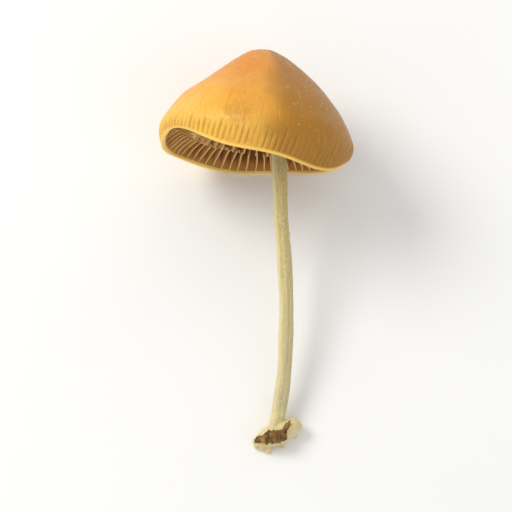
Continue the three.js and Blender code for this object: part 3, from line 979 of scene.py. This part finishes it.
def cap_material():
    s = Shader("cap_flesh_orange", 0.42)
    share = s.attribute("share")
    grain = s.attribute("grain", "Vector")
    to_right = s.part(grain, "X")
    cloud = s.noise(90, 3)
    streaks = s.noise(1.6, 4, 0.6, s.stretched(grain, (26, 26, 5)))
    fine = s.noise(900, 4)
    lower = s.math("ADD", share, s.centred(cloud, 0.42))
    # How far round to the right a point is, with a cloud: where painted shade goes on the side away from
    # the key light, partly also a duller skin there
    dull_shaded_flank = s.math("ADD", to_right, s.math("MULTIPLY", cloud, 0.5))
    inside = s.math("SUBTRACT", 1.0, s.attribute("outside"))
    deep_orange, light_orange = colour(218, 130, 26), colour(232, 152, 40)
    golden, skirt_yellow = colour(240, 174, 58), colour(238, 186, 72)
    # The duller tan and the shaded brown are painted shade on the cap's right side, partly also its duller
    # skin
    dull_shade_tan, shaded_brown = colour(218, 154, 58), colour(166, 112, 22)
    rust, pale_streak, freckle = colour(200, 122, 34), colour(252, 206, 104), colour(188, 114, 36)
    worn_brown, groove_brown = colour(186, 132, 58), colour(184, 134, 52)
    lip_yellow, lip_edge, inner_cream = colour(246, 204, 98), colour(252, 214, 118), colour(232, 184, 100)
    base = s.mix(s.noise(260, 4), deep_orange, light_orange)
    base = s.tinted(base, golden, lower, 0.28, 0.6)
    base = s.tinted(base, skirt_yellow, lower, 0.55, 0.78)
    # Painted shade: the front and right of the cap are made duller and darker away from the key light, and
    # part of it is the skin's duller colour on that side
    base = s.tinted(base, dull_shade_tan, to_right, -0.5, 0.0, 0.4)
    base = s.tinted(base, shaded_brown, dull_shaded_flank, 0.22, 0.6, 0.9)
    base = s.tinted(base, rust, streaks, 0.5, 0.75, 0.35)
    base = s.tinted(base, pale_streak, streaks, 0.42, 0.25, 0.3)
    base = s.tinted(base, freckle, s.noise(1500, 2), 0.6, 0.72, 0.4)
    base = s.mix(worn_patch(s), base, worn_brown)
    base = s.mix(s.math("MULTIPLY", s.attribute("groove"), 0.62), base, groove_brown)
    base = s.tinted(base, lip_yellow, share, 0.935, 0.975)
    base = s.tinted(base, lip_edge, share, 0.985, 1.0, 0.7)
    base = s.mix(s.math("MULTIPLY", inside, s.span(share, 0.97, 0.92)), base, inner_cream)
    normal = s.bump(fine, 0.05, s.bump(streaks, 0.12))
    rough = s.span(fine, 0.3, 0.7, 0.34, 0.55)
    return s.done(base, normal, Roughness=rough, Sheen_Weight=0.05, Specular_IOR_Level=0.35)


def granule_material():
    s = Shader("cap_grains_pale", 0.5)
    base = s.mix(s.noise(700, 2), colour(226, 176, 104), colour(252, 232, 178))
    return s.done(base, s.bump(s.noise(3000, 3), 0.04))


def gill_material():
    s = Shader("gill_brown", 0.7)
    base = s.mix(s.attribute("tone"), colour(190, 134, 60), colour(228, 172, 92))
    base = s.tinted(base, colour(208, 150, 74), s.noise(420, 4), 0.4, 0.7)
    base = s.tinted(base, colour(232, 192, 122), s.attribute("free"), 0.8, 0.97)
    return s.done(base, s.bump(s.noise(1400, 4), 0.06), Sheen_Weight=0.1)


def lining_material():
    s = Shader("gill_layer_brown", 0.8)
    base = s.mix(s.noise(350, 4), colour(164, 114, 50), colour(198, 144, 74))
    return s.done(base, s.bump(s.noise(1500, 4), 0.05))


def stem_material():
    s = Shader("stem_cream", 0.6)
    grain = s.attribute("grain", "Vector")
    streaks = s.noise(1.0, 5, 0.62, s.stretched(grain, (9, 9, 9)))
    wide = s.noise(0.5, 3, 0.5, s.stretched(grain, (6, 6, 4)))
    # How far round to the left a point of the stem is, which is where a painted highlight goes
    lit_left_side = s.math("ADD", s.part(grain, "Y"), s.centred(wide, 0.9))
    stained = s.math("ADD", s.attribute("stain"), s.centred(s.noise(700, 4), 0.9))
    cream, olive_cream = colour(214, 193, 124), colour(206, 189, 128)
    dark_fibre, pale_fibre = colour(168, 150, 96), colour(242, 230, 180)
    shadow, dark_speck, pale_speck = colour(178, 164, 112), colour(160, 150, 104), colour(240, 228, 176)
    lower_grey, lit_cream, stain_brown = colour(194, 186, 152), colour(240, 224, 164), colour(126, 96, 54)
    base = s.tinted(cream, olive_cream, wide, 0.35, 0.65)
    base = s.tinted(base, dark_fibre, streaks, 0.5, 0.72, 0.75)
    base = s.tinted(base, pale_fibre, streaks, 0.46, 0.28, 0.8)
    base = s.tinted(base, shadow, s.noise(650, 3), 0.58, 0.72, 0.3)
    base = s.tinted(base, dark_speck, s.noise(2300, 2, 0.6), 0.55, 0.66, 0.6)
    base = s.tinted(base, pale_speck, s.noise(1900, 2, 0.6), 0.56, 0.68, 0.45)
    base = s.tinted(base, lower_grey, s.attribute("share"), 0.3, 0.8, 0.5)
    # Painted highlight: the stem's left side, towards the key light, is made paler
    base = s.tinted(base, lit_cream, lit_left_side, -0.35, -0.9, 0.6)
    foot_colour = s.mix(s.noise(420, 4), colour(208, 186, 118), colour(240, 224, 178))
    base = s.mix(s.math("MULTIPLY", s.attribute("foot"), 0.85), base, foot_colour)
    base = s.tinted(base, stain_brown, stained, 0.45, 0.8, 0.85)
    normal = s.bump(s.noise(1300, 4), 0.06, s.bump(streaks, 0.16))
    return s.done(base, normal, Sheen_Weight=0.15, Subsurface_Weight=0.08, Subsurface_Scale=0.0015)


def soil_material():
    s = Shader("soil_brown", 0.9)
    base = s.tinted(colour(84, 58, 22), colour(144, 108, 50), s.noise(600, 5), 0.35, 0.65)
    base = s.mix(s.span(s.cells(900), 0.0, 0.25, 0.5, 0), base, colour(172, 132, 82))
    base = s.mix(s.math("MULTIPLY", s.attribute("warm"), 0.75), base, colour(200, 144, 90))
    return s.done(base, s.bump(s.noise(2200, 5), 0.12))


def floor_material():
    s = Shader("floor_pale", 0.75)
    base = s.mix(s.noise(14, 3), colour(244, 244, 242), colour(250, 250, 249))
    return s.done(base, s.bump(s.noise(500, 3), 0.02))


# Floor, light and camera


def make_floor():
    corners = [(x * FLOOR_HALF, y * FLOOR_HALF, 0) for x, y in ((-1, -1), (1, -1), (1, 1), (-1, 1))]
    floor = make_piece("floor", np.array(corners), [(0, 1, 2, 3)])
    floor.data.materials.append(floor_material())


def add_light(name, place, size, watts, tint):
    """A round lamp that points at the object"""
    light = bpy.data.lights.new(name, "AREA")
    light.shape = "DISK"
    light.size = size
    light.energy = watts
    light.color = tint
    lamp = bpy.data.objects.new(name, light)
    lamp.location = place
    lamp.rotation_mode = "QUATERNION"
    lamp.rotation_quaternion = (-Vector(place)).to_track_quat("-Z", "Y")
    bpy.context.collection.objects.link(lamp)


def make_light():
    world = bpy.data.worlds.new("studio")
    world.use_nodes = True
    background = world.node_tree.nodes["Background"]
    background.inputs["Color"].default_value = (1, 1, 1, 1)
    background.inputs["Strength"].default_value = SKY
    bpy.context.scene.world = world
    for light in LIGHTS:
        add_light(*light)
    bpy.context.scene.view_settings.view_transform = "Standard"


def make_camera():
    cosine, sine = math.cos(VIEW_ELEVATION), math.sin(VIEW_ELEVATION)
    across, up = VIEW_MIDDLE
    target = Vector((across, (up - VIEW_DEPTH * cosine) / sine, VIEW_DEPTH)) * MM
    back = Vector((0, -cosine, sine))
    camera = bpy.data.cameras.new("camera")
    camera.lens = LENS
    camera.sensor_width = SENSOR
    camera.clip_start, camera.clip_end = CLIP
    holder = bpy.data.objects.new("camera", camera)
    distance = VIEW_WIDTH * MM * LENS / SENSOR
    holder.location = target + back * distance
    holder.rotation_mode = "QUATERNION"
    holder.rotation_quaternion = (-back).to_track_quat("-Z", "Y")
    bpy.context.collection.objects.link(holder)
    bpy.context.scene.camera = holder


def dress(piece, material, slot, *nodes):
    """Gives a piece its material and body, and hides the nodes that it replaces. The slot is not used."""
    piece.data.materials.append(material)
    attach(piece, "root")
    if nodes:
        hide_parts(*nodes)


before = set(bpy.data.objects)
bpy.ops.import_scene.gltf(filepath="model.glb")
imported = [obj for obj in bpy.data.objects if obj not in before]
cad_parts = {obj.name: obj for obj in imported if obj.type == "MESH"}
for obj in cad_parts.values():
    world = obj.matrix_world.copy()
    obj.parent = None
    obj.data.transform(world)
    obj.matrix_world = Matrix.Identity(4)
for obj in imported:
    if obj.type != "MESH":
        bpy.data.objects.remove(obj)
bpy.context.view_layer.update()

dress(make_cap(), cap_material(), "cap_flesh", "cap")
dress(make_granules(), granule_material(), "cap_flesh")
dress(make_gills(), gill_material(), "gill_flesh", "gills")
dress(make_lining(), lining_material(), "gill_flesh", "gills")
stem, stem_points, stem_faces = make_stem()
dress(stem, stem_material(), "stem_flesh", "stem")
dress(make_soil(stem_points, stem_faces), soil_material(), "soil", "soil")
make_floor()
make_light()
make_camera()
